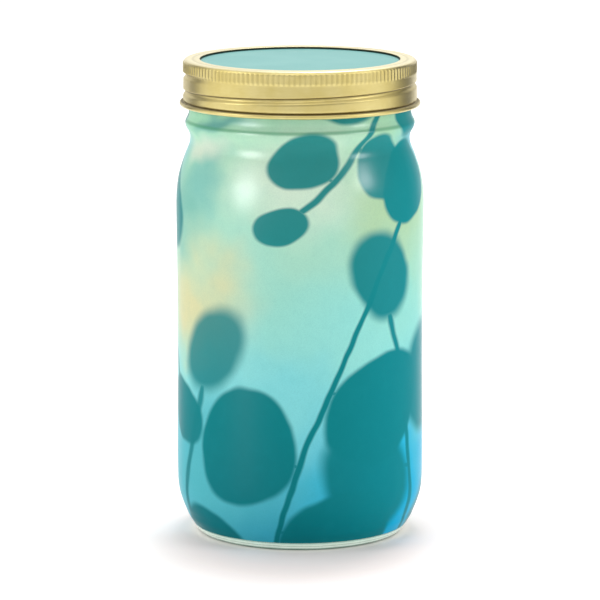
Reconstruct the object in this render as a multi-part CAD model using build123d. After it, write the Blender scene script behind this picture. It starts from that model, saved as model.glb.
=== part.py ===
# A wide-mouth glass jar planter for growing herbs in water. A slotted steel cup of growing
# medium hangs in the mouth, a felt wick draws water up from the jar, and a two-piece screw
# closure shuts it. The packets of the kit lie on the medium, under the lid.
# Millimetres, +Z up. The origin is the middle of the foot, on the surface the jar stands on.

from build123d import *
from math import acos, asin, atan2, cos, degrees, radians, sin, sqrt
import os

# Jar glass, from the foot up
glass = 3.0
body_radius = 47.0
heel_radius = 39.0
heel_height = 24.0
foot_ring_width = 4.5
push_up = 1.5
base_glass = 4.7
inner_heel_width = 6.0
body_height = 105.0
shoulder_rise = 21.25
shoulder_ease = 10.0
neck_ease = 1.5
neck_radius = 41.45
neck_fillet = 9.0
bead_round = 2.6
bead_reach = 1.95
finish_step = 0.45
finish_height = 21.76

# Screw band
band_sheet = 0.5
band_play = 1.5
band_height = 17.5
band_shoulder = 1.3
band_hole_radius = 37.7
curl_round = 1.15
curl_offset = 0.55
knurl_count = 132
knurl_foot = 0.05
knurl_depth = 0.3
knurl_height = 3.6

# Lid disc and its seal
disc_sheet = 0.4
disc_inset = 1.1
seal_thickness = 1.0
seal_width = 3.2
seal_inset = 0.8

# Gaps between pieces that rest on each other
seat_gap = 0.05
packing_gap = 0.3

# Net cup
cup_sheet = 0.5
cup_clearance = 1.85
cup_depth = 62.0
cup_flange_inset = 0.3
slot_rows = 3
slots_in_row = 10
slot_length = 13.0
slot_width = 3.4
slot_gap = 4.0
slot_foot = 7.0
drain_count = 8
drain_length = 9.0
drain_width = 3.0
drain_circle = 26.0

# Felt wick, a strip looped over the bar between two slots in the cup's bottom
wick_thickness = 2.0
wick_width = 20.0
wick_bar = 10.0
wick_clearance = 0.3
wick_slot_spare = 0.8
wick_floor_gap = 3.0

# Growing medium
medium_depth = 43.0

# Packets of the kit, lying flat on the medium
sachet_length = 52.0
sachet_width = 38.0
sachet_bulge = 5.0
sachet_crimp = 5.0
sachet_film = 0.6
packet_length = 52.0
packet_width = 40.0
packet_paper = 0.9
packet_flap = 15.0
packet_flap_taper = 4.0
packet_flap_paper = 0.4
leaflet_length = 44.0
leaflet_width = 40.0
leaflet_paper = 0.3
leaflet_gap = 0.3
leaflet_panels = 4

# Straight facets that stand in for each round, few so that the solids stay light
heel_facets = 2
shoulder_facets = 4
neck_facets = 1
bead_facets = 2
band_shoulder_facets = 2
curl_facets = 3
sachet_facets = 4

# How far a cutting tool runs past what it cuts
overrun = 2.0


# Where the jar's arcs meet, worked out from its sizes
heel_angle = asin(heel_height / heel_radius)
heel_centre = (body_radius - heel_radius, heel_height)
foot_radius = heel_centre[0] + heel_radius * cos(heel_angle)
shoulder_height = heel_height + body_height
neck_height = shoulder_height + shoulder_rise
neck_centre_radius = neck_radius + neck_fillet
bead_centre_radius = neck_radius + bead_reach - bead_round
bead_run = neck_centre_radius - bead_centre_radius
bead_rise = sqrt((neck_fillet + bead_round) ** 2 - bead_run**2)
bead_angle = atan2(bead_rise, bead_run)
bead_height = neck_height + bead_rise
finish_radius = neck_radius + finish_step
bead_top_angle = acos((finish_radius - bead_centre_radius) / bead_round)
rim_height = bead_height + finish_height
bore_radius = neck_radius - glass
jar_floor = push_up + base_glass

# Heights of the closure's stack, from the rim up
cup_top = rim_height + seat_gap + cup_sheet
seal_bottom = cup_top + seat_gap
disc_bottom = seal_bottom + seal_thickness
disc_top = disc_bottom + disc_sheet
band_top = disc_top + seat_gap + band_sheet
band_inner_radius = finish_radius + band_play
band_radius = band_inner_radius + band_sheet
disc_radius = band_inner_radius - disc_inset

# The cup hangs by its flange from the rim, clear of the bore and of the body's wall
cup_radius = min(bore_radius, body_radius - glass) - cup_clearance
cup_bottom = rim_height + seat_gap - cup_depth
cup_floor = cup_bottom + cup_sheet
medium_bottom = cup_floor + packing_gap
medium_top = medium_bottom + medium_depth

# The wick's two tails hang either side of the bar
wick_reach = wick_bar / 2 + wick_clearance + wick_thickness
wick_top = cup_floor + wick_clearance + wick_thickness
wick_bottom = jar_floor + wick_floor_gap

# The packets' stack, from the medium up
sachet_bottom = medium_top + packing_gap
packet_bottom = sachet_bottom + sachet_bulge + packing_gap
leaflet_bottom = packet_bottom + packet_paper + packet_flap_paper + packing_gap


def facets(curve, count):
    """A curve as a few straight facets."""
    return Polyline(*[curve @ (n / count) for n in range(count + 1)])


def spun(*lines):
    """A solid turned about Z from the closed outline that the lines make in XZ."""
    return revolve(Plane.XZ * make_face(Curve() + list(lines)), Axis.Z)


def ring(inside, outside, bottom, top):
    """A plain ring about Z."""
    band = Circle(outside) - Circle(inside)
    return Pos(0, 0, bottom) * extrude(band, top - bottom)


def jar_outside():
    """The jar as a full block of glass, before it is blown hollow."""
    bead_turn = degrees(bead_angle)
    bead_top_turn = degrees(bead_top_angle)
    heel_turn = degrees(heel_angle)
    recess = foot_radius - foot_ring_width
    heel = CenterArc(heel_centre, heel_radius, -heel_turn, heel_turn)
    shoulder = Bezier(
        (body_radius, shoulder_height),
        (body_radius, shoulder_height + shoulder_ease),
        (neck_radius, neck_height - neck_ease),
        (neck_radius, neck_height),
    )
    neck_centre = (neck_centre_radius, neck_height)
    neck = CenterArc(neck_centre, neck_fillet, 180, -bead_turn)
    bead_centre = (bead_centre_radius, bead_height)
    bead = CenterArc(bead_centre, bead_round, -bead_turn, bead_turn + bead_top_turn)
    return spun(
        Polyline((0, push_up), (recess, push_up), (recess, 0), heel @ 0),
        facets(heel, heel_facets),
        Line(heel @ 1, shoulder @ 0),
        facets(shoulder, shoulder_facets),
        facets(neck, neck_facets),
        facets(bead, bead_facets),
        Polyline(
            bead @ 1,
            (finish_radius, rim_height),
            (0, rim_height),
            (0, push_up),
        ),
    )


def jar_inside():
    """The space inside the jar, from the floor up through the mouth."""
    wall = body_radius - glass
    return spun(
        Polyline(
            (0, jar_floor),
            (wall - inner_heel_width, jar_floor),
            (wall, heel_height),
            (wall, shoulder_height),
            (bore_radius, neck_height),
            (bore_radius, rim_height + overrun),
            (0, rim_height + overrun),
            close=True,
        )
    )


def glass_jar():
    return jar_outside() - jar_inside()


def knurl():
    """The ribbed ring under the band's shoulder, a star of alternating radii."""
    valley = band_radius + knurl_foot
    radii = [valley, valley + knurl_depth] * knurl_count
    turns = [radians(180 * n / knurl_count) for n in range(2 * knurl_count)]
    star = Polyline(*[(r * cos(a), r * sin(a)) for r, a in zip(radii, turns)], close=True)
    ribs = make_face(star) - Circle(band_inner_radius)
    bottom = band_top - band_shoulder - knurl_height
    return Pos(0, 0, bottom) * extrude(ribs, knurl_height)


def screw_band():
    """The rolled metal band: flange, rounded shoulder, ribs, skirt and curled lower edge."""
    shoulder_centre = (band_radius - band_shoulder, band_top - band_shoulder)
    shoulder = CenterArc(shoulder_centre, band_shoulder, 0, 90)
    curl_bottom = band_top - band_height
    curl_lean = degrees(asin(curl_offset / curl_round))
    curl_centre = (band_radius + curl_offset, curl_bottom + curl_round)
    curl = CenterArc(curl_centre, curl_round, -90, 180 + curl_lean)
    shell = spun(
        Polyline(
            (band_inner_radius, band_top - band_sheet),
            (band_hole_radius, band_top - band_sheet),
            (band_hole_radius, band_top),
            shoulder @ 1,
        ),
        facets(shoulder, band_shoulder_facets),
        Line(shoulder @ 0, curl @ 1),
        facets(curl, curl_facets),
        Polyline(
            curl @ 0,
            (band_inner_radius, curl_bottom),
            (band_inner_radius, band_top - band_sheet),
        ),
    )
    return shell + knurl()


def lid_disc():
    return Pos(0, 0, disc_bottom) * extrude(Circle(disc_radius), disc_sheet)


def lid_seal():
    """The soft ring flowed in under the lid's edge."""
    outside = disc_radius - seal_inset
    return ring(outside - seal_width, outside, seal_bottom, disc_bottom)


def cup_slots():
    """Upright slots through the cup's wall, in rows that are staggered by half a slot."""
    tool = Pos(cup_radius, 0, 0) * Box(2 * overrun, slot_width, slot_length)
    slots = []
    for row in range(slot_rows):
        height = cup_bottom + slot_foot + slot_length / 2 + row * (slot_length + slot_gap)
        for n in range(slots_in_row):
            turn = 360 * (n + row / 2) / slots_in_row
            slots.append(Pos(0, 0, height) * Rot(0, 0, turn) * tool)
    return slots


def cup_drains():
    """The bottom's two wick slots, either side of a bar, and its ring of short slots."""
    depth = 2 * overrun
    wide = wick_thickness + 2 * wick_slot_spare
    long = wick_width + 2 * wick_slot_spare
    wick_slot = Box(wide, long, depth)
    slot_centre = wick_bar / 2 + wide / 2
    drain = Pos(drain_circle, 0, 0) * Box(drain_width, drain_length, depth)
    cuts = [Pos(side * slot_centre, 0, 0) * wick_slot for side in (-1, 1)]
    cuts += [Rot(0, 0, 360 * n / drain_count) * drain for n in range(drain_count)]
    return [Pos(0, 0, cup_bottom) * cut for cut in cuts]


def net_cup():
    """The drawn steel cup, with slots in its wall and bottom and a flat flange."""
    flange_radius = finish_radius - cup_flange_inset
    shell = spun(
        Polyline(
            (0, cup_bottom),
            (cup_radius, cup_bottom),
            (cup_radius, cup_top - cup_sheet),
            (flange_radius, cup_top - cup_sheet),
            (flange_radius, cup_top),
            (cup_radius - cup_sheet, cup_top),
            (cup_radius - cup_sheet, cup_floor),
            (0, cup_floor),
            close=True,
        )
    )
    return shell - cup_slots() - cup_drains()


def wick():
    """The felt strip, over the bar and down through both slots to just above the floor."""
    side = wick_reach - wick_thickness / 2
    bridge = wick_top - wick_thickness / 2
    fold = wick_thickness / 2
    line = Polyline(
        (-side, wick_bottom),
        (-side, bridge - fold),
        (fold - side, bridge),
        (side - fold, bridge),
        (side, bridge - fold),
        (side, wick_bottom),
    )
    strip = trace(line, wick_thickness)
    return extrude(Plane.XZ * strip, wick_width / 2, both=True)


def growing_medium():
    """The coir plug, clear of the cup's wall all round and packed about the wick's loop."""
    plug = extrude(Circle(cup_radius - cup_sheet - packing_gap), medium_depth)
    loop = Box(
        2 * (wick_reach + packing_gap),
        wick_width + 2 * packing_gap,
        2 * (wick_top + packing_gap - medium_bottom),
    )
    return Pos(0, 0, medium_bottom) * (plug - loop)


def plant_food_sachet():
    """A filled foil sachet, a pillow with a flat crimp across each end."""
    filled = sachet_length / 2 - sachet_crimp
    swell = sachet_bulge / 2
    over = ThreePointArc((-filled, 0), (0, swell), (filled, 0))
    under = ThreePointArc((filled, 0), (0, -swell), (-filled, 0))
    outline = Curve() + [facets(over, sachet_facets), facets(under, sachet_facets)]
    pillow = extrude(Plane.XZ * make_face(outline), sachet_width / 2, both=True)
    film = Box(sachet_length, sachet_width, sachet_film)
    return Pos(0, 0, sachet_bottom + swell) * (pillow + film)


def seed_packet():
    """A paper envelope with its flap stuck down over the top face."""
    half = packet_width / 2
    end = packet_length / 2
    narrow = half - packet_flap_taper
    outline = Polyline(
        (-half, end),
        (half, end),
        (narrow, end - packet_flap),
        (-narrow, end - packet_flap),
        close=True,
    )
    flap = Pos(0, 0, packet_paper) * extrude(make_face(outline), packet_flap_paper)
    body = extrude(Rectangle(packet_width, packet_length), packet_paper)
    return Pos(0, 0, packet_bottom) * (body + flap)


def instruction_leaflet():
    """A strip of paper folded to and fro, each panel just clear of the next."""
    layer = leaflet_paper + leaflet_gap
    half = leaflet_length / 2
    middle = leaflet_paper / 2
    ends = [half - middle, middle - half]
    points = []
    for n in range(leaflet_panels):
        points += [(ends[n % 2 - 1], n * layer), (ends[n % 2], n * layer)]
    strip = trace(Polyline(*points), leaflet_paper)
    sheet = extrude(Plane.YZ * strip, leaflet_width / 2, both=True)
    return Pos(0, 0, leaflet_bottom + middle) * sheet


pieces = {
    "glass_jar": glass_jar,
    "screw_band": screw_band,
    "lid_disc": lid_disc,
    "lid_seal": lid_seal,
    "net_cup": net_cup,
    "wick": wick,
    "growing_medium": growing_medium,
    "plant_food_sachet": plant_food_sachet,
    "seed_packet": seed_packet,
    "instruction_leaflet": instruction_leaflet,
}

os.makedirs("parts", exist_ok=True)
for name, make in pieces.items():
    piece = make()
    export_step(piece, f"parts/{name}.step")
    print(name, round(piece.volume), "mm3", piece.bounding_box())
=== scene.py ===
import bpy
import math
import numpy as np
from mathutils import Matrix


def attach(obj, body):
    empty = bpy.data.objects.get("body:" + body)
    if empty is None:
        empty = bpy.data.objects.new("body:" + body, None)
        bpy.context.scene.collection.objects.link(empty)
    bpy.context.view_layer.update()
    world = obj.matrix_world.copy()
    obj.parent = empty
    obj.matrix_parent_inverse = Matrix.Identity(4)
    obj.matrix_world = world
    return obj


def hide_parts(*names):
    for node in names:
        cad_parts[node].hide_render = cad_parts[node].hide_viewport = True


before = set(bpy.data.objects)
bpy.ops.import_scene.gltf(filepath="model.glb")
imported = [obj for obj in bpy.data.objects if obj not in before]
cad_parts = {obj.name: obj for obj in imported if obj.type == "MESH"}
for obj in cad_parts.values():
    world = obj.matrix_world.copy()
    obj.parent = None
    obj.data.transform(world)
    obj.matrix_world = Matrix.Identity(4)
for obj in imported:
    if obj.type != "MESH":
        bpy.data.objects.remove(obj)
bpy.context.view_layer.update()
mm = 0.001  # outlines below are in millimetres, Blender is in metres
print("frame loaded")


# colours and shader sums

def tone(red, green, blue):  # a colour mixed from 0 to 255, as on a paint chart
    parts = [part / 255 for part in (red, green, blue)]
    return (*[p / 12.92 if p <= 0.04045 else ((p + 0.055) / 1.055) ** 2.4 for p in parts], 1)


class Signal:  # one socket, which can stand in a sum
    def __init__(self, paint, socket):
        self.paint = paint
        self.socket = socket

    def __add__(self, other):
        return self.paint.calc("ADD", self, other)

    def __radd__(self, other):
        return self.paint.calc("ADD", other, self)

    def __sub__(self, other):
        return self.paint.calc("SUBTRACT", self, other)

    def __rsub__(self, other):
        return self.paint.calc("SUBTRACT", other, self)

    def __mul__(self, other):
        return self.paint.calc("MULTIPLY", self, other)

    def __rmul__(self, other):
        return self.paint.calc("MULTIPLY", other, self)

    def __truediv__(self, other):
        return self.paint.calc("DIVIDE", self, other)

    def __pow__(self, other):
        return self.paint.calc("POWER", self, other)

    def __gt__(self, other):
        return self.paint.calc("GREATER_THAN", self, other)

    def __lt__(self, other):
        return self.paint.calc("LESS_THAN", self, other)

    def __abs__(self):
        return self.paint.calc("ABSOLUTE", self)


class Paint:  # one material, or the sky, with its nodes
    def __init__(self, name, owner=None):
        self.material = owner or bpy.data.materials.new(name)
        self.material.use_nodes = True
        self.tree = self.material.node_tree
        self.tree.nodes.clear()

    def node(self, kind, settings=None, sockets=(), out=0):
        made = self.tree.nodes.new(kind)
        for key, value in (settings or {}).items():
            if key == "stops":
                while len(made.color_ramp.elements) < len(value):
                    made.color_ramp.elements.new(0.5)
                for stop, (place, colour) in zip(made.color_ramp.elements, value):
                    stop.position = place
                    stop.color = colour
            else:
                setattr(made, key, value)
        pairs = sockets.items() if isinstance(sockets, dict) else enumerate(sockets)
        for key, value in pairs:
            if isinstance(value, Signal):
                self.tree.links.new(value.socket, made.inputs[key])
            else:
                made.inputs[key].default_value = value
        return Signal(self, made.outputs[out]) if made.outputs else None

    def calc(self, operation, *values):
        return self.node("ShaderNodeMath", {"operation": operation}, values)

    def place(self, scale=(1, 1, 1)):  # the point on the piece, stretched
        spot = self.node("ShaderNodeTexCoord", out="Object")
        return self.node("ShaderNodeMapping", {}, {"Vector": spot, "Scale": scale})

    def split(self, vector):
        parts = self.node("ShaderNodeSeparateXYZ", {}, [vector])
        return [Signal(self, socket) for socket in parts.socket.node.outputs]

    def noise(self, size, detail=2, rough=0.5, where=None):  # size of a blotch in mm
        where = where or self.place()
        values = {"Vector": where, "Scale": 1 / (size * mm), "Detail": detail, "Roughness": rough}
        return self.node("ShaderNodeTexNoise", {}, values)

    def mix(self, factor, first, second):
        return self.node("ShaderNodeMix", {"data_type": "RGBA"}, {0: factor, 6: first, 7: second}, 2)

    def soft(self, value, low, high):  # 0 at low, 1 at high, eased between
        settings = {"interpolation_type": "SMOOTHSTEP"}
        return self.node("ShaderNodeMapRange", settings, {0: value, 1: low, 2: high})

    def ramp(self, value, *stops):
        return self.node("ShaderNodeValToRGB", {"stops": stops}, [value])

    def bump(self, height, distance, strength=1):
        values = {"Strength": strength, "Distance": distance * mm, "Height": height}
        return self.node("ShaderNodeBump", {}, values)

    def shader(self, sockets):
        return self.node("ShaderNodeBsdfPrincipled", {}, sockets)

    def output(self, shader):
        self.node("ShaderNodeOutputMaterial", {}, {"Surface": shader})

    def surface(self, sockets):
        self.output(self.shader(sockets))


# modelling

def deselect():
    if bpy.context.object and bpy.context.object.mode != "OBJECT":
        bpy.ops.object.mode_set(mode="OBJECT")
    bpy.ops.object.select_all(action="DESELECT")


def nameIt(name):
    made = bpy.context.object
    made.name = name
    made.data.name = name
    return made


def pick(obj):
    deselect()
    obj.select_set(True)
    bpy.context.view_layer.objects.active = obj


def bake(obj, kind, **settings):  # adds a modifier and applies it
    pick(obj)
    extra = obj.modifiers.new(kind.title(), kind)
    for key, value in settings.items():
        setattr(extra, key, value)
    bpy.ops.object.modifier_apply(modifier=extra.name)


def smoothUnder(degrees):
    bpy.ops.object.shade_smooth_by_angle(angle=math.radians(degrees))


def arc(centre, radius, start, end, steps):  # points of a round in (radius, height)
    turns = np.linspace(math.radians(start), math.radians(end), steps + 1)
    return [(centre[0] + radius * math.cos(t), centre[1] + radius * math.sin(t)) for t in turns]


def run(start, end, steps):  # a straight run, its first point left out
    shares = [(n + 1) / steps for n in range(steps)]
    return [(start[0] + (end[0] - start[0]) * s, start[1] + (end[1] - start[1]) * s) for s in shares]


def flow(points, parts):  # a smooth line through the points
    places = np.array(points, float)
    ends = np.vstack([2 * places[0] - places[1], places, 2 * places[-1] - places[-2]])
    line = [tuple(places[0])]
    for a, b, c, d in zip(ends, ends[1:], ends[2:], ends[3:]):
        curve = 2 * a - 5 * b + 4 * c - d
        twist = 3 * b - a - 3 * c + d
        for t in np.linspace(0, 1, parts + 1)[1:]:
            line.append(tuple((2 * b + (c - a) * t + curve * t**2 + twist * t**3) / 2))
    return line


def drawOutline(name, points):  # a plane shrunk to one point, then drawn on in the XZ plane
    deselect()
    bpy.ops.mesh.primitive_plane_add(size=mm, location=(points[0][0] * mm, 0, points[0][1] * mm))
    made = nameIt(name)
    bpy.ops.object.transform_apply(location=True, rotation=False, scale=False)
    bpy.ops.object.mode_set(mode="EDIT")
    bpy.ops.mesh.select_mode(type="VERT")
    bpy.ops.mesh.select_all(action="SELECT")
    bpy.ops.mesh.merge(type="CENTER")
    for (a, b), (c, d) in zip(points, points[1:]):
        step = ((c - a) * mm, 0, (d - b) * mm)
        bpy.ops.mesh.extrude_vertices_move(TRANSFORM_OT_translate={"value": step})
    return made


def turnOutline(name, points, steps, smooth=40):
    weld = 0.002 * mm
    made = drawOutline(name, points)
    bpy.ops.object.mode_set(mode="OBJECT")
    bake(made, "SCREW", steps=steps, render_steps=steps, use_merge_vertices=True, merge_threshold=weld)
    bpy.ops.object.mode_set(mode="EDIT")
    bpy.ops.mesh.select_all(action="SELECT")
    bpy.ops.mesh.remove_doubles(threshold=weld)
    bpy.ops.mesh.normals_make_consistent(inside=False)
    bpy.ops.object.mode_set(mode="OBJECT")
    smoothUnder(smooth)
    return made


def drawStrip(name, points, wide):  # an outline drawn out along Y, left in edit mode with all selected
    made = drawOutline(name, points)
    bpy.ops.mesh.select_all(action="SELECT")
    bpy.ops.transform.translate(value=(0, -wide / 2 * mm, 0))
    bpy.ops.mesh.extrude_edges_move(TRANSFORM_OT_translate={"value": (0, wide * mm, 0)})
    bpy.ops.mesh.select_all(action="SELECT")
    return made


def layFlat(name, across, along, ahead=0, up=0):  # sizes the flat primitive just added and puts it in place
    made = nameIt(name)
    bpy.ops.object.mode_set(mode="EDIT")
    bpy.ops.mesh.select_all(action="SELECT")
    bpy.ops.transform.resize(value=(across * mm, along * mm, 1))
    bpy.ops.transform.translate(value=(0, ahead * mm, up * mm))
    bpy.ops.object.mode_set(mode="OBJECT")
    return made


def thicken(obj, thick, edge=0, segments=2):  # gives a sheet its thickness, and round edges if asked
    bake(obj, "SOLIDIFY", thickness=thick * mm, offset=0)
    if edge:
        limit = {"limit_method": "ANGLE", "angle_limit": math.radians(60)}
        bake(obj, "BEVEL", width=edge * mm, segments=segments, **limit)


def pointsOf(obj):  # every point of a piece, in mm
    spots = np.empty(len(obj.data.vertices) * 3)
    obj.data.vertices.foreach_get("co", spots)
    return spots.reshape(-1, 3) / mm


def pressPoints(obj, change):  # moves every point by a formula
    obj.data.vertices.foreach_set("co", (change(pointsOf(obj)) * mm).ravel())
    obj.data.update()


def radiusOf(spots):
    return np.hypot(spots[:, 0], spots[:, 1])


def pushOut(spots, depth):  # moves points away from the middle line
    share = 1 + depth / radiusOf(spots).clip(1)
    return spots * np.stack([share, share, np.ones(len(share))], 1)


def ease(value, low, high):  # 0 below low, 1 above high
    share = np.clip((value - low) / (high - low), 0, 1)
    return share * share * (3 - 2 * share)


def hump(value, middle, reach):  # 1 at the middle, fading to both sides
    return np.exp(-(((value - middle) / reach) ** 2))


def settle(obj, paint, body, slot, *nodes):
    obj.data.materials.clear()
    obj.data.materials.append(paint.material)
    if nodes:
        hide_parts(*nodes)
    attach(obj, body)


# the line that the band's groove and the jar's thread follow

thread = {
    "pitch": 6.35,
    "height": 168.9,  # of the band's groove at 180 degrees, counted from the right side
    "lift": 2.4,  # from the groove up to the thread that it screws under
}


def distanceToThread(spots, start, end, lift, fade):  # height above the thread's line, and its strength
    around = np.degrees(np.arctan2(spots[:, 1], spots[:, 0])) % 360
    best = np.full(len(spots), 99.0)
    strength = np.zeros(len(spots))
    for lap in range(-2, 3):
        turn = around + 360 * lap
        line = thread["height"] + lift + thread["pitch"] * (turn - 180) / 360
        gap = spots[:, 2] - line
        ends = ease(turn, start, start + fade) * (1 - ease(turn, end - fade, end))
        nearer = (np.abs(gap) < np.abs(best)) & (ends > 0)
        best[nearer] = gap[nearer]
        strength[nearer] = ends[nearer]
    return best, strength


# the glass jar

jar = {
    "outside": [  # radius and height, from the clear foot up to the finish
        (41.05, 3.2), (42.17, 5), (43.0, 6.5), (43.8, 8.5), (44.65, 10.5), (45.95, 14.5), (46.6, 18.4),
        (46.84, 24), (46.86, 34), (46.74, 48), (46.58, 66), (46.55, 80), (46.6, 95), (46.76, 110),
        (46.9, 122), (46.86, 129), (46.34, 134.6), (45.52, 138.6), (44.3, 142.5), (42.87, 146.3),
        (42.06, 148.2), (41.56, 150.1), (41.5, 152), (42.05, 153.9), (42.9, 155.3), (43.3, 156.6),
        (43.25, 157.7), (42.65, 158.9), (42.05, 160.4), (41.88, 162), (41.86, 164.3),
    ],
    "inside": [
        (38.45, 168), (38.45, 152), (39.0, 146), (41.4, 139), (43.2, 132), (43.75, 124), (43.7, 90),
        (43.75, 30), (43.1, 18), (41.0, 11), (37, 8.0), (30, 6.9), (18, 6.6), (8, 6.55), (0, 6.5),
    ],
    "under": [
        (0, 1.95), (10, 1.9), (22, 1.75), (31, 1.55), (34.2, 1.3), (35.3, 0.6), (36.1, 0.12),
        (37.0, 0.02), (38.3, 0.1),
    ],
    "heel": [(38.3, 0.1), (39.3, 0.75), (40.15, 1.75)],
    "skin": 0.12,  # depth of the printed coat
    "finish": 41.75,
    "bore": 38.5,
    "rim": 178.4,
    "rimRoundOut": 1.2,
    "rimRoundIn": 1.0,
    "threadStart": -100,
    "threadEnd": 315,
    "threadFade": 35,
    "threadReach": 1.1,
    "threadRound": 1.8,
    "footTop": 3.4,  # the stippled foot is whole up to footFull and gone above footTop
    "footFull": 2.8,
    "steps": 216,
}

jarSide = flow(jar["outside"], 3)
glassSide = [(r - jar["skin"], z) for r, z in jarSide]
outRound, inRound = jar["rimRoundOut"], jar["rimRoundIn"]
finishSide = run(glassSide[-1], (jar["finish"], jar["rim"] - outRound), 34)
rimRound = arc((jar["finish"] - outRound, jar["rim"] - outRound), outRound, 0, 90, 5)[1:]
rimRound += arc((jar["bore"] + inRound, jar["rim"] - inRound), inRound, 90, 180, 4)
glassOutline = flow(jar["heel"] + [glassSide[0]], 3)[:-1] + glassSide + finishSide + rimRound
glassOutline += flow([rimRound[-1]] + jar["inside"], 3)[1:]
glassOutline += flow(jar["under"], 3)
jarGlass = turnOutline("jarGlass", glassOutline, jar["steps"], 50)


def raiseThread(spots):
    gap, strength = distanceToThread(
        spots, jar["threadStart"], jar["threadEnd"], thread["lift"], jar["threadFade"])
    bead = jar["threadRound"]
    raised = np.sqrt(np.maximum(bead**2 - gap**2, 0)) - (bead - jar["threadReach"])
    onFinish = (radiusOf(spots) > 41.5) * (spots[:, 2] > 160)
    return pushOut(spots, np.maximum(raised, 0) * strength * onFinish)


pressPoints(jarGlass, raiseThread)

glassPaint = Paint("softGreenGlass")
ripple = glassPaint.noise(9, 2, 0.5, glassPaint.place((1, 1, 0.35)))
stipple = glassPaint.noise(1.1, 1, 0.5)
above = glassPaint.split(glassPaint.place())[2] / mm
lowDown = glassPaint.soft(above, jar["footTop"], jar["footFull"])
clear = glassPaint.shader({
    "Base Color": glassPaint.mix(ripple, tone(226, 246, 234), tone(240, 251, 245)),
    "Roughness": 0.015 + stipple * lowDown * 0.2,
    "IOR": 1.5,
    "Transmission Weight": 1.0,
    "Normal": glassPaint.bump(ripple * 0.5 + stipple * lowDown, 0.12),
})
beads = glassPaint.soft(glassPaint.noise(0.7, 2, 0.6), 0.35, 0.65)
paintedFootRings = glassPaint.ramp(  # painted light and dark rings, standing in for the light that thick clear glass bends
    above / jar["footTop"] + (ripple - 0.5) * 0.12,
    (0.0, tone(96, 132, 118)), (0.16, tone(150, 184, 168)), (0.34, tone(236, 250, 241)),
    (0.5, tone(184, 212, 194)), (0.66, tone(228, 246, 232)), (0.84, tone(158, 202, 186)),
    (1.0, tone(118, 180, 168)),
)
frostedFootWithGlow = glassPaint.shader({  # the heavy stippled edge that the jar stands on, with painted rings and a painted glow standing in for light through the glass
    "Base Color": glassPaint.mix(beads * 0.25, paintedFootRings, tone(246, 254, 247)),
    "Roughness": 0.14 + ripple * 0.14,
    "IOR": 1.5,
    "Coat Weight": 0.8,
    # painted glow: the foot gives off light in its ring colours
    "Emission Color": paintedFootRings,
    "Emission Strength": 0.22,
    "Normal": glassPaint.bump(ripple * 0.5 + stipple * 0.6, 0.22),
})
footShare = lowDown * (0.8 + ripple * 0.3)
glassPaint.output(glassPaint.node("ShaderNodeMixShader", {}, [footShare, clear, frostedFootWithGlow]))
settle(jarGlass, glassPaint, "jar", "glass", "glass_jar")
print("jar blown")


# the printed coat on the jar

coat = {
    "steps": 216,
    "round": 47,  # mm round the jar for each radian
    "top": 165,
    "leafWander": 7,  # how far the print's edges stray, in mm
    "groundWander": 34,
    "crease": 158.1,  # height of the crease above the neck's bead
    "sprigs": [  # turn, height and lean of the foot, length, leaf, pitch, arch, blur and darkness
        (-22, -20, 74, 156, 24.5, 57, 0.0008, 0.05, 1),
        (72, -30, 96, 122, 24, 60, -0.0006, 0.13, 0.98),
        (-84, -52, 82, 116, 24, 61, 0.0008, 0.18, 0.9),
        (56, 178, -122, 66, 14, 33, 0.003, 0.07, 0.97),
        (132, -14, 79, 156, 24, 55, 0.0008, 0.06, 1),
        (-132, 164, -74, 112, 20, 45, -0.0012, 0.07, 0.98),
        (198, -30, 95, 140, 24, 58, 0.0009, 0.14, 0.96),
    ],
    "patches": [  # turn and height, reach round and up, colour and strength of each soft patch
        (-58, 95, 30, 25, tone(218, 216, 168), 1.0),
        (-68, 128, 18, 20, tone(112, 182, 170), 0.75),
        (52, 132, 26, 34, tone(180, 211, 166), 0.95),
        (-2, 142, 34, 22, tone(216, 236, 214), 0.95),
        (-52, 140, 12, 22, tone(122, 192, 184), 0.7),
        (26, 82, 34, 26, tone(152, 226, 218), 0.9),
        (-8, 54, 34, 20, tone(134, 219, 222), 0.8),
        (46, 20, 44, 44, tone(0, 182, 222), 1.0),
        (56, 14, 26, 24, tone(0, 178, 224), 1.0),
        (-58, 30, 40, 34, tone(84, 182, 192), 0.9),
        (128, 104, 40, 38, tone(214, 216, 166), 0.9),
        (160, 24, 46, 40, tone(0, 184, 220), 0.9),
        (-140, 88, 36, 40, tone(214, 216, 170), 0.9),
        (-120, 30, 46, 34, tone(70, 190, 212), 0.8),
        (-58, 152, 18, 7, tone(222, 230, 210), 0.8),
        (-44, 162, 20, 4, tone(88, 160, 156), 0.8),
        (86, 158, 9, 9, tone(84, 170, 186), 0.8),
        (-96, 152, 24, 22, tone(110, 190, 205), 0.8),
        (84, 154, 22, 20, tone(110, 190, 205), 0.8),
        (180, 140, 50, 26, tone(150, 215, 190), 0.7),
    ],
}

skinInside = [(r - jar["skin"] * 0.85, z) for r, z in reversed(jarSide)]
printCoat = turnOutline("printCoat", jarSide + skinInside + [jarSide[0]], coat["steps"], 50)

ink = Paint("frostedBotanicalPrint")
wander = ink.noise(26, 2, 0.5) - 0.5
wanderUp = ink.noise(31, 2, 0.5, ink.place((1.1, 1.1, 1.2))) - 0.5
x, y, z = ink.split(ink.place())
turn = ink.calc("ARCTAN2", x, y * -1)
height = z / mm


def roundFrom(degrees):  # mm round the jar from a place on it, the shorter way
    return ink.calc("WRAP", turn - math.radians(degrees), math.pi, -math.pi) * coat["round"]


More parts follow.
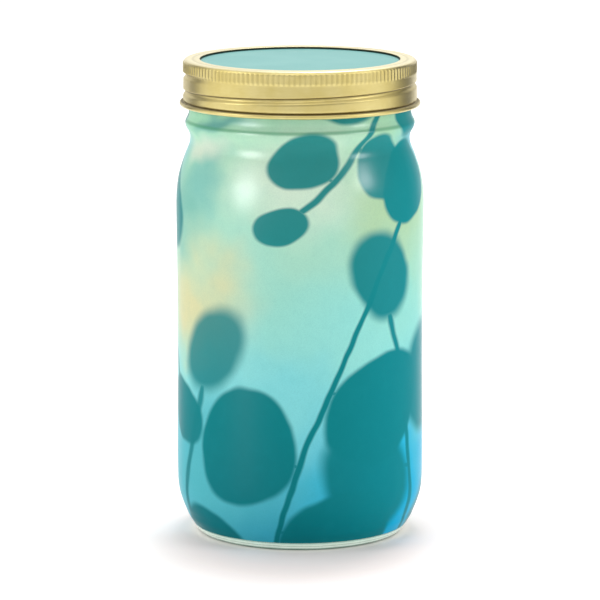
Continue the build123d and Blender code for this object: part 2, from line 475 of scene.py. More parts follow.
ground = ink.ramp(
    height / coat["top"] + wander * 0.25,
    (0.0, tone(58, 172, 198)), (0.16, tone(88, 190, 206)), (0.36, tone(136, 218, 220)),
    (0.55, tone(158, 222, 206)), (0.8, tone(178, 224, 198)), (1.0, tone(170, 224, 190)),
)
for place, up, wide, tall, colour, amount in coat["patches"]:
    sideways = (roundFrom(place) + wander * coat["groundWander"]) / wide
    upward = (height - up + wanderUp * coat["groundWander"]) / tall
    far = (sideways * sideways + upward * upward) ** 0.5
    ground = ink.mix(ink.soft(far, 1.25, 0.1) * amount, ground, colour)

bare = 1  # 1 where no sprig lies
for place, foot, lean, length, leafReach, pitch, arch, blur, dark in coat["sprigs"]:
    lean = math.radians(lean)
    reach = roundFrom(place) + wander * coat["leafWander"]
    lift = height - foot + wanderUp * coat["leafWander"]
    along = reach * math.cos(lean) + lift * math.sin(lean)
    across = lift * math.cos(lean) - reach * math.sin(lean) + along * along * arch
    step = along / pitch + ink.calc("SIGN", across) * 0.25 + 0.25  # leaves stand left and right in turn
    cell = ink.calc("FLOOR", step)
    local = (step - cell - 0.5) * pitch
    count = math.floor(length / pitch)
    onSprig = (cell > -0.5) * (cell < count - 0.5)
    size = leafReach * (1.04 - cell * (0.34 / max(count, 1)))
    out = abs(across) - size - 1.5
    ahead = (local * 0.88 + out * 0.47) / size  # the leaf leans towards the tip
    beside = (out * 0.88 - local * 0.47) / size
    fromMiddle = (ahead * ahead * 0.86 + beside * beside * (1.1 + ahead * 0.25)) ** 0.5
    leaf = ink.soft(fromMiddle, 1 + blur, 1 - blur * 1.4) * onSprig
    inReach = ink.soft(along, -2, 2) * ink.soft(along, length + 4, length - 2)
    stem = ink.soft(abs(across), 1.5 + blur * 6, 0.7 - blur) * inReach
    stalk = ink.soft(abs(local - abs(across) * 0.2), 1.1 + blur * 4, 0.4)
    stalk = stalk * (abs(across) < leafReach) * onSprig
    tipAlong = (along - length - leafReach * 0.6) / (leafReach * 0.72)
    tipAcross = across / (leafReach * 0.6)
    tip = ink.soft((tipAlong * tipAlong + tipAcross * tipAcross) ** 0.5, 1 + blur, 1 - blur * 1.4)
    shape = leaf
    for more in (stem, stalk * 0.9, tip):
        shape = ink.calc("MAXIMUM", shape, more)
    bare = bare * (1 - shape * dark)

grain = ink.noise(0.45, 2, 0.7)
mottle = ink.noise(5, 3, 0.6)
smear = ink.noise(18, 2, 0.5, ink.place((1, 1, 0.3)))
shade = ink.ramp(
    height / coat["top"],
    (0.0, tone(0, 116, 126)), (0.3, tone(0, 126, 132)),
    (0.7, tone(18, 131, 132)), (1.0, tone(30, 136, 134)),
)
shade = ink.mix(ink.soft(x / mm + height * -0.1, -10, 40) * 0.6, shade, tone(0, 140, 152))
paintedCreaseShade = ink.soft(abs(height - coat["crease"] + wander * 0.6), 1.1, 0.1)  # painted shade darkening the crease above the neck's bead
ground = ink.mix(paintedCreaseShade * 0.6, ground, tone(84, 158, 116))
colour = ink.mix(1 - bare, ground, shade)
colour = ink.mix((0.62 - grain) * 0.3, colour, tone(0, 112, 116))
colour = ink.mix((mottle - 0.45) * 0.2, colour, tone(30, 164, 168))
ink.surface({
    "Base Color": colour,
    "Roughness": 0.36 + smear * 0.1 + grain * 0.04,
    "Specular IOR Level": 0.0,
    "Coat Weight": 0.09 + smear * 0.04,
    "Coat Roughness": 0.28,
    "Sheen Weight": 0.75,
    "Sheen Roughness": 0.25,
    "Normal": ink.bump(smear + grain * 0.02, 0.25),
})
settle(printCoat, ink, "jar", "glass")
print("print laid on")


# the screw band

band = {
    "lip": (37.95, 180.8),  # centre of the round at the flange's inner edge
    "lipRound": 0.19,
    "top": 180.99,
    "flangeDip": [(39.3, 180.99), (39.8, 180.9), (40.6, 180.84), (41.3, 180.93), (41.9, 180.99)],
    "flangeEnd": 42.25,
    "outside": 43.9,
    "shoulder": 1.3,
    "wallBend": (43.93, 177.3),
    "hem": [(44.16, 166.7), (44.14, 166.15), (44.04, 165.75), (43.88, 165.42), (43.8, 165.2)],
    "curl": (44.6, 164.38),
    "curlRound": 0.85,
    "tuck": (44.3, 164.2),  # the curl's end, turned in against the wall
    "tuckRound": 0.65,
    "inside": [
        (43.42, 164.9), (43.42, 177.5), (43.42, 179.6), (43.2, 180.2), (42.6, 180.5), (38.6, 180.52),
    ],
    "ribs": 142,
    "ribDepth": 0.26,
    "ribBottom": 175.5,
    "ribTop": 180.2,
    "ribWall": 43.7,  # what lies within this radius gets no ribs
    "grooveStart": 150,
    "grooveEnd": 590,
    "grooveFade": 40,
    "grooveDepth": 0.95,
    "grooveLowest": 166.2,
    "grooveHighest": 177.9,
    "shaded": (235, 268, 284, 318),  # degrees round where painted shade also darkens the groove's lower lip, and its fades
    # heights over which the flat top's painted light fades in
    "topLightHeights": (180.4, 180.8),
    "steps": 710,  # five for each rib
}

shoulderAt = (band["outside"] - band["shoulder"], band["top"] - band["shoulder"])
wallFoot, wallHead, *underFlange = band["inside"]
bandOutline = arc(band["lip"], band["lipRound"], 215, 90, 4)
lip = bandOutline[0]
bandOutline += [(38.5, band["top"]), band["flangeDip"][0]] + flow(band["flangeDip"], 2)[1:]
bandOutline += [(band["flangeEnd"], band["top"])] + arc(shoulderAt, band["shoulder"], 90, 0, 8)
bandOutline += run((band["outside"], shoulderAt[1]), band["wallBend"], 9)
bandOutline += run(band["wallBend"], band["hem"][0], 51) + flow(band["hem"], 3)[1:]
bandOutline += arc(band["curl"], band["curlRound"], 128, -90, 10)
bandOutline += arc(band["tuck"], band["tuckRound"], -95, -180, 2)
bandOutline += [wallFoot] + run(wallFoot, wallHead, 20) + underFlange + [lip]
screwBand = turnOutline("goldBand", bandOutline, band["steps"], 48)


def ribsOn(spots, foot, head):  # the wave of the ribs, and where it lies, with its fade below and above
    wave = 0.5 + 0.5 * np.cos(np.arctan2(spots[:, 1], spots[:, 0]) * band["ribs"])
    rise = ease(spots[:, 2], band["ribBottom"], band["ribBottom"] + foot)
    window = rise * (1 - ease(spots[:, 2], band["ribTop"] - head, band["ribTop"]))
    return wave, window * (radiusOf(spots) > band["ribWall"])


def grooveOn(spots):
    return distanceToThread(spots, band["grooveStart"], band["grooveEnd"], 0, band["grooveFade"])


def rollBand(spots):
    tall = spots[:, 2]
    wave, window = ribsOn(spots, 1.1, 0.45)
    gap, strength = grooveOn(spots)
    upper = 1 - ease(gap, 0.35, 0.95)  # a crisp upper lip and a slower lower one
    lower = ease(gap, -1.75, -0.15)
    wall = (radiusOf(spots) > 43.3) & (tall > band["grooveLowest"]) & (tall < band["grooveHighest"])
    groove = band["grooveDepth"] * upper * lower * strength * wall
    return pushOut(spots, band["ribDepth"] * wave * window - groove)


def paintedBandShade(spots):  # painted shade: darker in the groove, over the curl, on the cut inner edge, in the rib valleys and in the flange's dip
    radius = radiusOf(spots)
    tall = spots[:, 2]
    gap, strength = grooveOn(spots)
    around = np.degrees(np.arctan2(spots[:, 1], spots[:, 0])) % 360
    first, full, last, gone = band["shaded"]
    below = 0.5 * ease(around, first, full) * (1 - ease(around, last, gone)) * hump(gap, -1.75, 0.32)
    wall = (radius > 42.3) * (tall > band["grooveLowest"])
    inGroove = (hump(gap, 0.45, 0.36) + below) * strength * wall
    overCurl = hump(tall, 165.28, 0.27) * (radius > 43.45)
    cutEdge = (radius < 38.0) * (tall < 180.93) * 1.0
    wave, window = ribsOn(spots, 0.9, 0.3)
    valleys = 0.2 * (1 - wave) ** 2 * window
    dip = 0.32 * hump(radius, 40.4, 0.5) * (tall > 180.7)
    return np.maximum.reduce([inGroove, overCurl, cutEdge, valleys, dip])


pressPoints(screwBand, rollBand)
# the painted shade is kept on the points for the gold to read
paintedShadeAmount = paintedBandShade(pointsOf(screwBand))
screwBand.data.attributes.new("hollow", "FLOAT", "POINT").data.foreach_set("value", paintedShadeAmount)

gold = Paint("satinGoldPlate")
brushed = gold.noise(0.5, 2, 0.6, gold.place((0.16, 0.16, 1)))
speck = gold.noise(0.7, 1, 0.5)
worn = gold.soft(gold.noise(14, 3, 0.6), 0.35, 0.7)
hollow = gold.node("ShaderNodeAttribute", {"attribute_name": "hollow"}, out=2)
paintedTopLight = gold.soft(gold.split(gold.place())[2] / mm, *band["topLightHeights"])  # painted light: the flat top is paler, as if lit from above
plated = gold.mix(worn * 0.5 + brushed * 0.3, tone(221, 206, 144), tone(204, 185, 109))
plated = gold.mix(paintedTopLight * 0.7, plated, tone(240, 231, 192))
gold.surface({
    # painted shade darkens the gold where the points carry it
    "Base Color": gold.mix(hollow * 0.85, plated, tone(70, 56, 20)),
    "Metallic": 1.0,
    "Roughness": 0.3 + brushed * 0.1 + worn * 0.05 + hollow * 0.2,
    "Sheen Weight": 0.3,
    "Sheen Roughness": 0.4,
    "Normal": gold.bump(brushed * 0.7 + speck * 0.3, 0.02, 0.6),
})
settle(screwBand, gold, "band", "gold_band", "screw_band")
print("band rolled and threaded")


# the lid disc and its seal

lid = {
    "top": 180.43,
    "bottom": 180.07,
    "drop": 0.3,  # the panel inside the band's flange lies lower
    "edge": 0.17,
    "shadow": (37.1, 37.6),  # where the gap under the band's flange darkens it
    "steps": 192,
}

top, bottom = lid["top"], lid["bottom"]
low = top - lid["drop"]
under = bottom - lid["drop"]
lidOutline = [(0, low), (20, low), (34, low)]
lidOutline += flow([(34, low), (34.5, low - 0.06), (35.1, low - 0.06), (35.6, low), (37.2, low)], 3)[1:]
lidOutline += flow([(37.2, low), (37.8, low + 0.07), (38.25, top - 0.06), (38.9, top)], 3)[1:]
lidOutline += [(40, top), (41.7, top)] + arc((42.03, 180.25), lid["edge"], 80, -80, 4)
lidOutline += [(41.6, bottom), (38.9, bottom), (37.9, under + 0.08), (37.2, under), (20, under), (0, under)]
lidDisc = turnOutline("tealLid", lidOutline, lid["steps"])

teal = Paint("matteAquaLacquer")
orangePeel = teal.noise(0.9, 2, 0.5)
cloud = teal.noise(22, 3, 0.5)
lidX, lidY = teal.split(teal.place())[:2]
underBand = teal.soft((lidX * lidX + lidY * lidY) ** 0.5 / mm, *lid["shadow"])
lacquer = teal.mix(teal.soft(cloud, 0.3, 0.7) * 0.6, tone(118, 183, 179), tone(132, 192, 187))
teal.surface({
    "Base Color": teal.mix(underBand * 0.85, lacquer, tone(16, 44, 40)),
    "Roughness": 0.42 + orangePeel * 0.08,
    "Specular IOR Level": 0.25,
    "Normal": teal.bump(orangePeel, 0.015),
})
settle(lidDisc, teal, "lid", "teal_lid", "lid_disc")

seal = {"inside": 38.4, "outside": 41.4, "round": 0.4, "roundAt": 179.5, "top": 180.04, "steps": 144}

sealOutline = arc((seal["inside"] + seal["round"], seal["roundAt"]), seal["round"], 180, 270, 4)
sealOutline += arc((seal["outside"] - seal["round"], seal["roundAt"]), seal["round"], 270, 360, 4)
sealOutline += [(seal["outside"], seal["top"]), (seal["inside"], seal["top"]), sealOutline[0]]
sealRing = turnOutline("sealRing", sealOutline, seal["steps"])
rubber = Paint("softGreySeal")
pitted = rubber.noise(0.6, 2, 0.6)
rubber.surface({
    "Base Color": rubber.mix(pitted, tone(176, 172, 166), tone(196, 193, 188)),
    "Roughness": 0.55 + pitted * 0.15,
    "Normal": rubber.bump(pitted, 0.03),
})
settle(sealRing, rubber, "lid", "seal", "lid_seal")
print("lid seamed")


# the slotted cup that hangs in the mouth

cup = {
    "radius": 36.55,
    "bottom": 116.55,
    "sheet": 0.5,
    "corner": 2.5,
    "throat": 1.1,  # round under the flange
    "flange": 41.3,  # where its rounded edge begins
    "flangeUnder": 178.5,
    "flangeTop": 178.98,
    "slot": (3.2, 12.8),  # width and length
    "slotHeights": [130, 147, 164],
    "slotsInRow": 10,
    "drain": (2.8, 8.8),
    "drains": 8,
    "drainCircle": 26,
    "wickSlot": (3.5, 21.4),
    "wickSlotAt": 6.8,
    "punchDepth": 4,
    "steps": 180,
}

cornerAt = (cup["radius"] - cup["corner"], cup["bottom"] + cup["corner"])
throatAt = (cup["radius"] + cup["throat"], cup["flangeUnder"] - cup["throat"])
innerWall = cup["radius"] - cup["sheet"]
innerFloor = cup["bottom"] + cup["sheet"]
flangeEdge = (cup["flangeTop"] - cup["flangeUnder"]) / 2
cupOutline = [(0, cup["bottom"]), (15, cup["bottom"]), (30, cup["bottom"])]
cupOutline += arc(cornerAt, cup["corner"], 270, 360, 6)
cupOutline += run((cup["radius"], cornerAt[1]), (cup["radius"], throatAt[1]), 12)
cupOutline += arc(throatAt, cup["throat"], 180, 90, 5)[1:] + [(39.6, cup["flangeUnder"])]
cupOutline += [(cup["flange"], cup["flangeUnder"])]
cupOutline += arc((cup["flange"], cup["flangeUnder"] + flangeEdge), flangeEdge, -90, 90, 4)[1:]
cupOutline += [(39.6, cup["flangeTop"]), (throatAt[0], cup["flangeTop"])]
cupOutline += arc(throatAt, cup["throat"] + cup["sheet"], 90, 180, 5)[1:]
cupOutline += run((innerWall, throatAt[1]), (innerWall, cornerAt[1]), 12)
cupOutline += arc(cornerAt, cup["corner"] - cup["sheet"], 0, -90, 5)[1:] + [(15, innerFloor), (0, innerFloor)]
netCup = turnOutline("netCup", cupOutline, cup["steps"])


def punch(name, size, spots):  # round-ended punches, one modelled and the rest copied
    wide, tall = size
    deselect()
    bpy.ops.mesh.primitive_cylinder_add(vertices=24, radius=wide / 2 * mm, depth=cup["punchDepth"] * mm)
    first = nameIt(name)
    bpy.ops.object.mode_set(mode="EDIT")
    bpy.ops.mesh.select_all(action="SELECT")
    bpy.ops.mesh.bisect(plane_co=(0, 0, 0), plane_no=(1, 0, 0))
    bpy.ops.mesh.select_all(action="DESELECT")
    bpy.ops.object.mode_set(mode="OBJECT")

    def stretch(points):  # draws the two halves apart
        side = (points[:, 0] > 0.01) * 1.0 - (points[:, 0] < -0.01) * 1.0
        points[:, 0] += side * (tall - wide) / 2
        return points

    pressPoints(first, stretch)
    copies = [first]
    for _ in spots[1:]:
        again = first.copy()
        again.data = first.data.copy()
        bpy.context.scene.collection.objects.link(again)
        copies.append(again)
    for copy, (place, turns) in zip(copies, spots):
        copy.rotation_euler = turns
        copy.location = [part * mm for part in place]
    pick(first)
    for copy in copies:
        copy.select_set(True)
    bpy.ops.object.transform_apply(location=True, rotation=True, scale=True)
    bpy.ops.object.join()
    return bpy.context.object


slotCircle = cup["radius"] - cup["sheet"] / 2
floorMiddle = cup["bottom"] + cup["sheet"] / 2
slotSpots = []
for row, up in enumerate(cup["slotHeights"]):
    for n in range(cup["slotsInRow"]):
        around = math.tau * (n + row / 2) / cup["slotsInRow"]
        place = (slotCircle * math.cos(around), slotCircle * math.sin(around), up)
        slotSpots.append((place, (0, math.pi / 2, around)))
drainSpots = []
for around in np.arange(cup["drains"]) * math.tau / cup["drains"]:
    place = (cup["drainCircle"] * math.cos(around), cup["drainCircle"] * math.sin(around), floorMiddle)
    drainSpots.append((place, (0, 0, around + math.pi / 2)))
wickSpots = [((side * cup["wickSlotAt"], 0, floorMiddle), (0, 0, math.pi / 2)) for side in (-1, 1)]
for cutter in (
    punch("slotPunch", cup["slot"], slotSpots),
    punch("drainPunch", cup["drain"], drainSpots),
    punch("wickPunch", cup["wickSlot"], wickSpots),
):
    bake(netCup, "BOOLEAN", operation="DIFFERENCE", object=cutter, solver="EXACT")
    bpy.data.objects.remove(cutter)
pick(netCup)
smoothUnder(32)

steel = Paint("brushedSteel")
drawn = steel.noise(0.35, 3, 0.6, steel.place((1, 1, 0.06)))
dull = steel.noise(12, 3, 0.6)
steel.surface({
    "Base Color": steel.mix(dull, tone(196, 198, 200), tone(214, 215, 214)),
    "Metallic": 1.0,
    "Roughness": 0.22 + drawn * 0.14 + dull * 0.06,
    "Normal": steel.bump(drawn, 0.02, 0.5),
})
settle(netCup, steel, "grow_cup", "steel", "net_cup")
print("cup punched")


# the felt wick, over the bar and down through the cup's two slots

felt = {
    "wide": 19.4,
    "thick": 1.8,
    "bottom": 9.5,
    "bar": 118.55,  # height where it lies over the bar
    "side": 6.35,
    "bend": 1.3,
    "edge": 0.35,
}

down = [(felt["side"], tall) for tall in np.linspace(felt["bottom"], felt["bar"] - felt["bend"] - 0.3, 46)]
over = arc((felt["side"] - felt["bend"], felt["bar"] - felt["bend"]), felt["bend"], 0, 90, 4)
half = down + over
wickLine = half + [(0, felt["bar"])] + [(-a, b) for a, b in reversed(half)]
wick = drawStrip("feltWick", wickLine, felt["wide"])
bpy.ops.mesh.normals_make_consistent(inside=False)
bpy.ops.object.mode_set(mode="OBJECT")
thicken(wick, felt["thick"], felt["edge"])
smoothUnder(40)

wool = Paint("whiteFelt")
fibres = wool.noise(0.5, 4, 0.75, wool.place((1, 1, 0.5)))
clumps = wool.noise(3.5, 3, 0.6)
wool.surface({
    "Base Color": wool.mix(clumps * 0.6 + fibres * 0.4, tone(214, 208, 196), tone(240, 237, 228)),
    "Roughness": 0.85 + fibres * 0.1,
    "Sheen Weight": 0.75,
    "Normal": wool.bump(fibres + clumps * 0.6, 0.25, 0.8),
})
settle(wick, wool, "grow_cup", "felt", "wick")
print("wick threaded")


# the plug of coir

coir = {
    "radius": 35.4,
    "bottom": 117.5,
    "top": 160,
    "lowerRound": 1.8,
    "upperRound": 2.0,
    "overWick": [(0, 121), (8, 121), (9.5, 120.9), (12.5, 117.6), (24, 117.5)],
    "lump": 0.32,
    "crumb": 0.16,
    "steps": 200,
}

lowRound, highRound = coir["lowerRound"], coir["upperRound"]
plugOutline = list(coir["overWick"])
plugOutline += arc((coir["radius"] - lowRound, coir["bottom"] + lowRound), lowRound, 270, 360, 3)
plugOutline += run(plugOutline[-1], (coir["radius"], coir["top"] - highRound), 34)
plugOutline += arc((coir["radius"] - highRound, coir["top"] - highRound), highRound, 0, 90, 3)[1:]
plugOutline += run((coir["radius"] - highRound, coir["top"]), (0, coir["top"]), 26)
coirPlug = turnOutline("coirPlug", plugOutline, coir["steps"], 60)


def roughen(spots):
    a, b, c = spots.T
    lumps = np.sin(a * 1.31 + 2 * np.sin(b * 0.7)) * np.sin(b * 1.13 + c * 0.9) * np.sin(c * 1.4 + a * 0.6)
    crumbs = np.sin(a * 3.9 + b * 1.7) * np.sin(b * 4.3 - c * 2.1) * np.sin(c * 3.7 + a * 2.2)
    depth = coir["lump"] * (lumps - 1) + coir["crumb"] * (crumbs - 1)
    moved = pushOut(spots, depth * ease(radiusOf(spots), 33, 35))
    moved[:, 2] += depth * ease(c, 156, 159.5)
    return moved


pressPoints(coirPlug, roughen)
earth = Paint("packedCoir")
strands = earth.noise(0.8, 5, 0.8, earth.place((1, 1, 2.2)))
crumbs = earth.node("ShaderNodeTexVoronoi", {}, {"Vector": earth.place(), "Scale": 700})
patchy = earth.noise(7, 3, 0.6)
brown = earth.ramp(
    strands * 0.7 + patchy * 0.3,
    (0.25, tone(48, 30, 20)), (0.5, tone(92, 62, 40)),
    (0.75, tone(140, 102, 66)), (0.95, tone(182, 146, 102)),
)
earth.surface({
    "Base Color": brown,
    "Roughness": 0.85 + strands * 0.12,
    "Normal": earth.bump(strands + crumbs * 0.6, 0.5, 0.9),
})
settle(coirPlug, earth, "grow_cup", "coir", "growing_medium")
print("coir packed")


# the filled foil sachet

sachet = {
    "long": 51.6,
    "wide": 37.6,
    "middle": 163.15,  # height of its seam
    "bulge": 4.6,
    "crimp": 5.0,  # flat strip at each end
    "seam": 1.6,  # and along each side
    "film": 0.3,
    "wrinkle": 0.16,
    "pucker": 0.22,
    "crimpDepth": 0.12,
}

deselect()
bpy.ops.mesh.primitive_grid_add(x_subdivisions=96, y_subdivisions=70, size=1, location=(0, 0, 0))
foilSachet = layFlat("foilSachet", sachet["long"], sachet["wide"])
thicken(foilSachet, sachet["film"])


def fillSachet(spots):
    a, b, c = spots.T
    endwise = np.abs(a)
    halfLong = sachet["long"] / 2
    along = np.clip(endwise / (halfLong - sachet["crimp"]), 0, 1)
    across = np.clip(np.abs(b) / (sachet["wide"] / 2 - sachet["seam"]), 0, 1)
    swell = (1 - along**2.6) * (1 - across**3)
    wrinkle = np.sin(a * 0.9 + 1.4 * np.sin(b * 0.5)) * np.sin(b * 1.2 + a * 0.35) * swell
    nearCrimp = ease(along, 0.72, 0.98) * (1 - ease(endwise, halfLong - 4.6, halfLong - 4.0))
    puckers = np.sin(b * 1.5) * nearCrimp * (1 - across**4)
    crimp = np.sin(a * 6.2) * ease(endwise, halfLong - 4.4, halfLong - 3.8)
    lift = np.sign(c) * (swell * sachet["bulge"] * 0.43 + sachet["wrinkle"] * wrinkle)
    lift += sachet["pucker"] * puckers + sachet["crimpDepth"] * crimp
    return np.stack([a, b, c + lift + sachet["middle"]], 1)


pressPoints(foilSachet, fillSachet)
pick(foilSachet)
smoothUnder(50)
foil = Paint("crinkledFoil")
crease = foil.noise(3, 4, 0.65)
fineCrease = foil.noise(0.8, 2, 0.6)
foil.surface({
    "Base Color": foil.mix(crease, tone(196, 198, 202), tone(222, 224, 226)),
    "Metallic": 0.9,
    "Roughness": 0.24 + fineCrease * 0.12,
    "Normal": foil.bump(crease + fineCrease * 0.2, 0.25, 0.6),
})
settle(foilSachet, foil, "packets", "foil", "plant_food_sachet")


# the seed packet and the folded leaflet

packet = {
    "wide": 39.6,
    "long": 51.6,
    "bottom": 165.95,
    "thick": 0.8,
    "flap": 14.6,
    "flapPaper": 0.24,
    "flapInset": 0.2,
    "flapRise": 0.95,
    "flapEnd": 25.7,  # how far the flap's fold lies from the middle
    "flapTaper": 0.8,
    "stripe": (-12, 7.2, 7.0),  # its middle, and half its width where it ends and where it is full
}

deselect()
bpy.ops.mesh.primitive_grid_add(x_subdivisions=30, y_subdivisions=38, size=1, location=(0, 0, 0))
seedPacket = layFlat("seedPacket", packet["wide"], packet["long"], up=packet["bottom"] + packet["thick"] / 2)
thicken(seedPacket, packet["thick"], 0.3, 3)
deselect()
bpy.ops.mesh.primitive_plane_add(size=1, location=(0, 0, 0))
flapWide = packet["wide"] - 2 * packet["flapInset"]
flapMiddle = packet["flapEnd"] - packet["flap"] / 2
flapUp = packet["bottom"] + packet["flapRise"]
packetFlap = layFlat("packetFlap", flapWide, packet["flap"], flapMiddle, flapUp)


def taperFlap(points):
    points[:, 0] *= np.where(points[:, 1] < flapMiddle, packet["flapTaper"], 1)
    return points


pressPoints(packetFlap, taperFlap)
thicken(packetFlap, packet["flapPaper"], 0.1)
pick(seedPacket)
packetFlap.select_set(True)
bpy.ops.object.join()
pick(seedPacket)
smoothUnder(40)

kraft = Paint("seedPacketPaper")
pulp = kraft.noise(1.2, 5, 0.7)
flecks = kraft.noise(0.5, 2, 0.6)
stripeAt, stripeEnd, stripeFull = packet["stripe"]
stripe = kraft.soft(abs(kraft.split(kraft.place())[1] / mm - stripeAt), stripeEnd, stripeFull)
paper = kraft.mix(pulp, tone(206, 184, 148), tone(222, 203, 170))
paper = kraft.mix(kraft.soft(flecks, 0.66, 0.72) * 0.5, paper, tone(150, 122, 86))
paper = kraft.mix(stripe * 0.85, paper, tone(96, 160, 142))
kraft.surface({
    "Base Color": paper,
    "Roughness": 0.8 + pulp * 0.1,
    "Normal": kraft.bump(pulp, 0.06, 0.6),
})
settle(seedPacket, kraft, "packets", "packet_paper", "seed_packet")

leaflet = {
    "wide": 39.4,
    "long": 43.4,
    "bottom": 167.7,
    "panels": 4,
    "layer": 0.58,
    "paper": 0.18,
    "borderAcross": (16.5, 16.7),
    "borderAlong": (18.5, 18.7),
}

fold = leaflet["layer"] / 2
ends = [leaflet["long"] / 2 - fold, fold - leaflet["long"] / 2]
leafLine = [(ends[1], leaflet["bottom"])]
for n in range(leaflet["panels"]):
    tall = leaflet["bottom"] + n * leaflet["layer"]
    to = ends[n % 2]
    leafLine += run(leafLine[-1], (to, tall), 10)
    if n < leaflet["panels"] - 1:
        way = 1 if n % 2 == 0 else -1
        leafLine += [(to + way * a, b) for a, b in arc((0, tall + fold), fold, -90, 90, 6)[1:]]
foldedLeaflet = drawStrip("foldedLeaflet", leafLine, leaflet["wide"])
bpy.ops.transform.rotate(value=math.pi / 2, orient_axis="Z", center_override=(0, 0, 0))
bpy.ops.object.mode_set(mode="OBJECT")
thicken(foldedLeaflet, leaflet["paper"])
smoothUnder(40)

sheetPaint = Paint("leafletPaper")
fibre = sheetPaint.noise(0.9, 4, 0.7)
tint = sheetPaint.noise(16, 2, 0.5)
acrossSheet, alongSheet = sheetPaint.split(sheetPaint.place())[:2]
border = sheetPaint.soft(abs(acrossSheet) / mm, *leaflet["borderAcross"])
border = border + sheetPaint.soft(abs(alongSheet) / mm, *leaflet["borderAlong"])
sheetColour = sheetPaint.mix(fibre * 0.5 + tint * 0.5, tone(236, 236, 228), tone(248, 248, 243))
sheetPaint.surface({
    "Base Color": sheetPaint.mix(border * 0.55, sheetColour, tone(150, 206, 200)),
    "Roughness": 0.6 + fibre * 0.15,
    "Normal": sheetPaint.bump(fibre, 0.03, 0.5),
})
settle(foldedLeaflet, sheetPaint, "packets", "leaflet_paper", "instruction_leaflet")
print("packets filled and folded")


# floor, lights and camera

studio = {
    "skyFront": 0.4,  # behind the camera
    "skyBack": 1.02,
    "skyTurn": (-0.8, 0.1),  # where it changes, from -1 behind the camera to 1 behind the jar
    "skyColour": (1, 0.995, 0.985, 1),
    "floorGlow": 0.3,
    "glowFrom": 0.03,  # the table glows only away from the jar, leaving a painted shadow near it
    "glowFull": 0.078,
    "glowShape": (1.12, 0.85),
    "glowAhead": 0.018,
    "lights": [  # name, place, aim, size across and up, watts, and the one piece it only shines on
        ("leftBox", (-1.2, -0.5, 0.8), (0, 0, 0.1), 0.5, 0.8, 3.5, None),
        ("rightBox", (1.2, -0.55, 0.8), (0, 0, 0.1), 0.5, 0.8, 3.5, None),
        ("topBox", (0.2, 0.6, 1.3), (0, 0, 0.08), 0.5, 0.5, 5, None),
        ("leftShine", (-1.1, -0.85, 0.42), (0, 0, 0.13), 0.6, 0.7, 100, printCoat),
        ("rightShine", (1.19, -0.56, 0.6), (0, 0, 0.14), 0.4, 0.36, 42, printCoat),
        ("rimShine", (0, -1.0, 1.15), (0, 0, 0.17), 1.7, 0.9, 5.2, screwBand),
    ],
    "flags": [  # dark cards out of view that draw the edges of metal and glass: name, place, width, height
        ("leftFlag", (-0.39, 0.26), 0.2, 0.5),
        ("rightFlag", (0.39, 0.24), 0.3, 0.5),
    ],
    "camera": (0, -1.488, 0.358),
    "lookDown": 10.27,
    "lens": 238.2,
}

deselect()
bpy.ops.mesh.primitive_plane_add(size=12, location=(0, 0, 0))
floor = nameIt("floor")
table = Paint("paleTable")
dust = table.noise(60, 2, 0.5)
tableX, tableY = table.split(table.place())[:2]
tableX = tableX * studio["glowShape"][0]
tableY = (tableY + studio["glowAhead"]) * studio["glowShape"][1]
distance = (tableX * tableX + tableY * tableY) ** 0.5
away = table.soft(distance, studio["glowFrom"], studio["glowFull"])
# painted warm tint near the jar, offsetting the cool light that the print casts there
warmNearJar = table.mix(dust, tone(249, 240, 239), tone(252, 243, 242))
tableColour = table.mix(away, warmNearJar, tone(246, 246, 246))
warmBounceOffset = (away - away * away) * 4  # painted warm ring on the table, offsetting the cool light that the print casts on it
table.surface({
    "Base Color": table.mix(warmBounceOffset * 0.5, tableColour, tone(252, 230, 226)),
    "Roughness": 0.7 + dust * 0.1,
    "Specular IOR Level": 0.2,
    # painted glow away from the jar, so the table stays darker near it as painted shadow
    "Emission Color": table.mix(away, tone(0, 0, 0), tone(255, 255, 255)),
    "Emission Strength": studio["floorGlow"],
})
floor.data.materials.append(table.material)

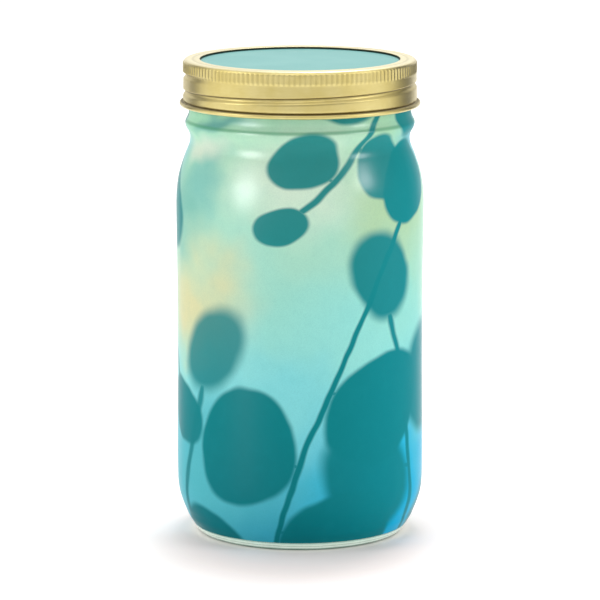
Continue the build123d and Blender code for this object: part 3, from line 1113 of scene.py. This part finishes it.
felted = Paint("darkFlagCloth")
nap = felted.noise(3, 2, 0.5)
felted.surface({"Base Color": felted.mix(nap, tone(30, 32, 30), tone(44, 46, 44)), "Roughness": 0.9})
for name, (across, back), wide, tall in studio["flags"]:
    deselect()
    turned = math.atan2(back, across) + math.pi / 2
    upright = (math.pi / 2, 0, turned)
    bpy.ops.mesh.primitive_plane_add(size=1, location=(across, back, tall / 2), rotation=upright)
    card = nameIt(name)
    card.scale = (wide, tall, 1)
    card.data.materials.append(felted.material)
    card.visible_camera = False
    card.visible_diffuse = False
    card.visible_shadow = False

for name, place, aim, across, up, watts, onlyOn in studio["lights"]:
    deselect()
    bpy.ops.object.light_add(type="AREA", location=place)
    lamp = bpy.context.object
    lamp.name = name
    lamp.data.shape = "RECTANGLE"
    lamp.data.size = across
    lamp.data.size_y = up
    lamp.data.energy = watts
    if onlyOn:  # a soft round glint without more light
        lamp.data.shape = "ELLIPSE"
        lamp.visible_diffuse = False
        lamp.light_linking.receiver_collection = bpy.data.collections.new(name + "Target")
        lamp.light_linking.receiver_collection.objects.link(onlyOn)
    way = [a - b for a, b in zip(aim, place)]
    level = math.hypot(way[0], way[1])
    lamp.rotation_euler = (math.atan2(level, -way[2]), 0, math.atan2(way[1], way[0]) - math.pi / 2)

world = bpy.context.scene.world or bpy.data.worlds.new("studio")
bpy.context.scene.world = world
sky = Paint("studioSky", world)
facing = sky.split(sky.node("ShaderNodeTexCoord", out="Generated"))[1]
brighter = studio["skyBack"] - studio["skyFront"]
strength = studio["skyFront"] + sky.soft(facing, *studio["skyTurn"]) * brighter
glow = sky.node("ShaderNodeBackground", {}, {"Color": studio["skyColour"], "Strength": strength})
sky.node("ShaderNodeOutputWorld", {}, {"Surface": glow})

tilt = math.radians(90 - studio["lookDown"])
bpy.ops.object.camera_add(location=studio["camera"], rotation=(tilt, 0, 0))
camera = bpy.context.object
camera.data.lens = studio["lens"]
camera.data.sensor_width = 36
camera.data.clip_end = 100
bpy.context.scene.camera = camera
bpy.context.scene.view_settings.view_transform = "Standard"
print("studio lit")
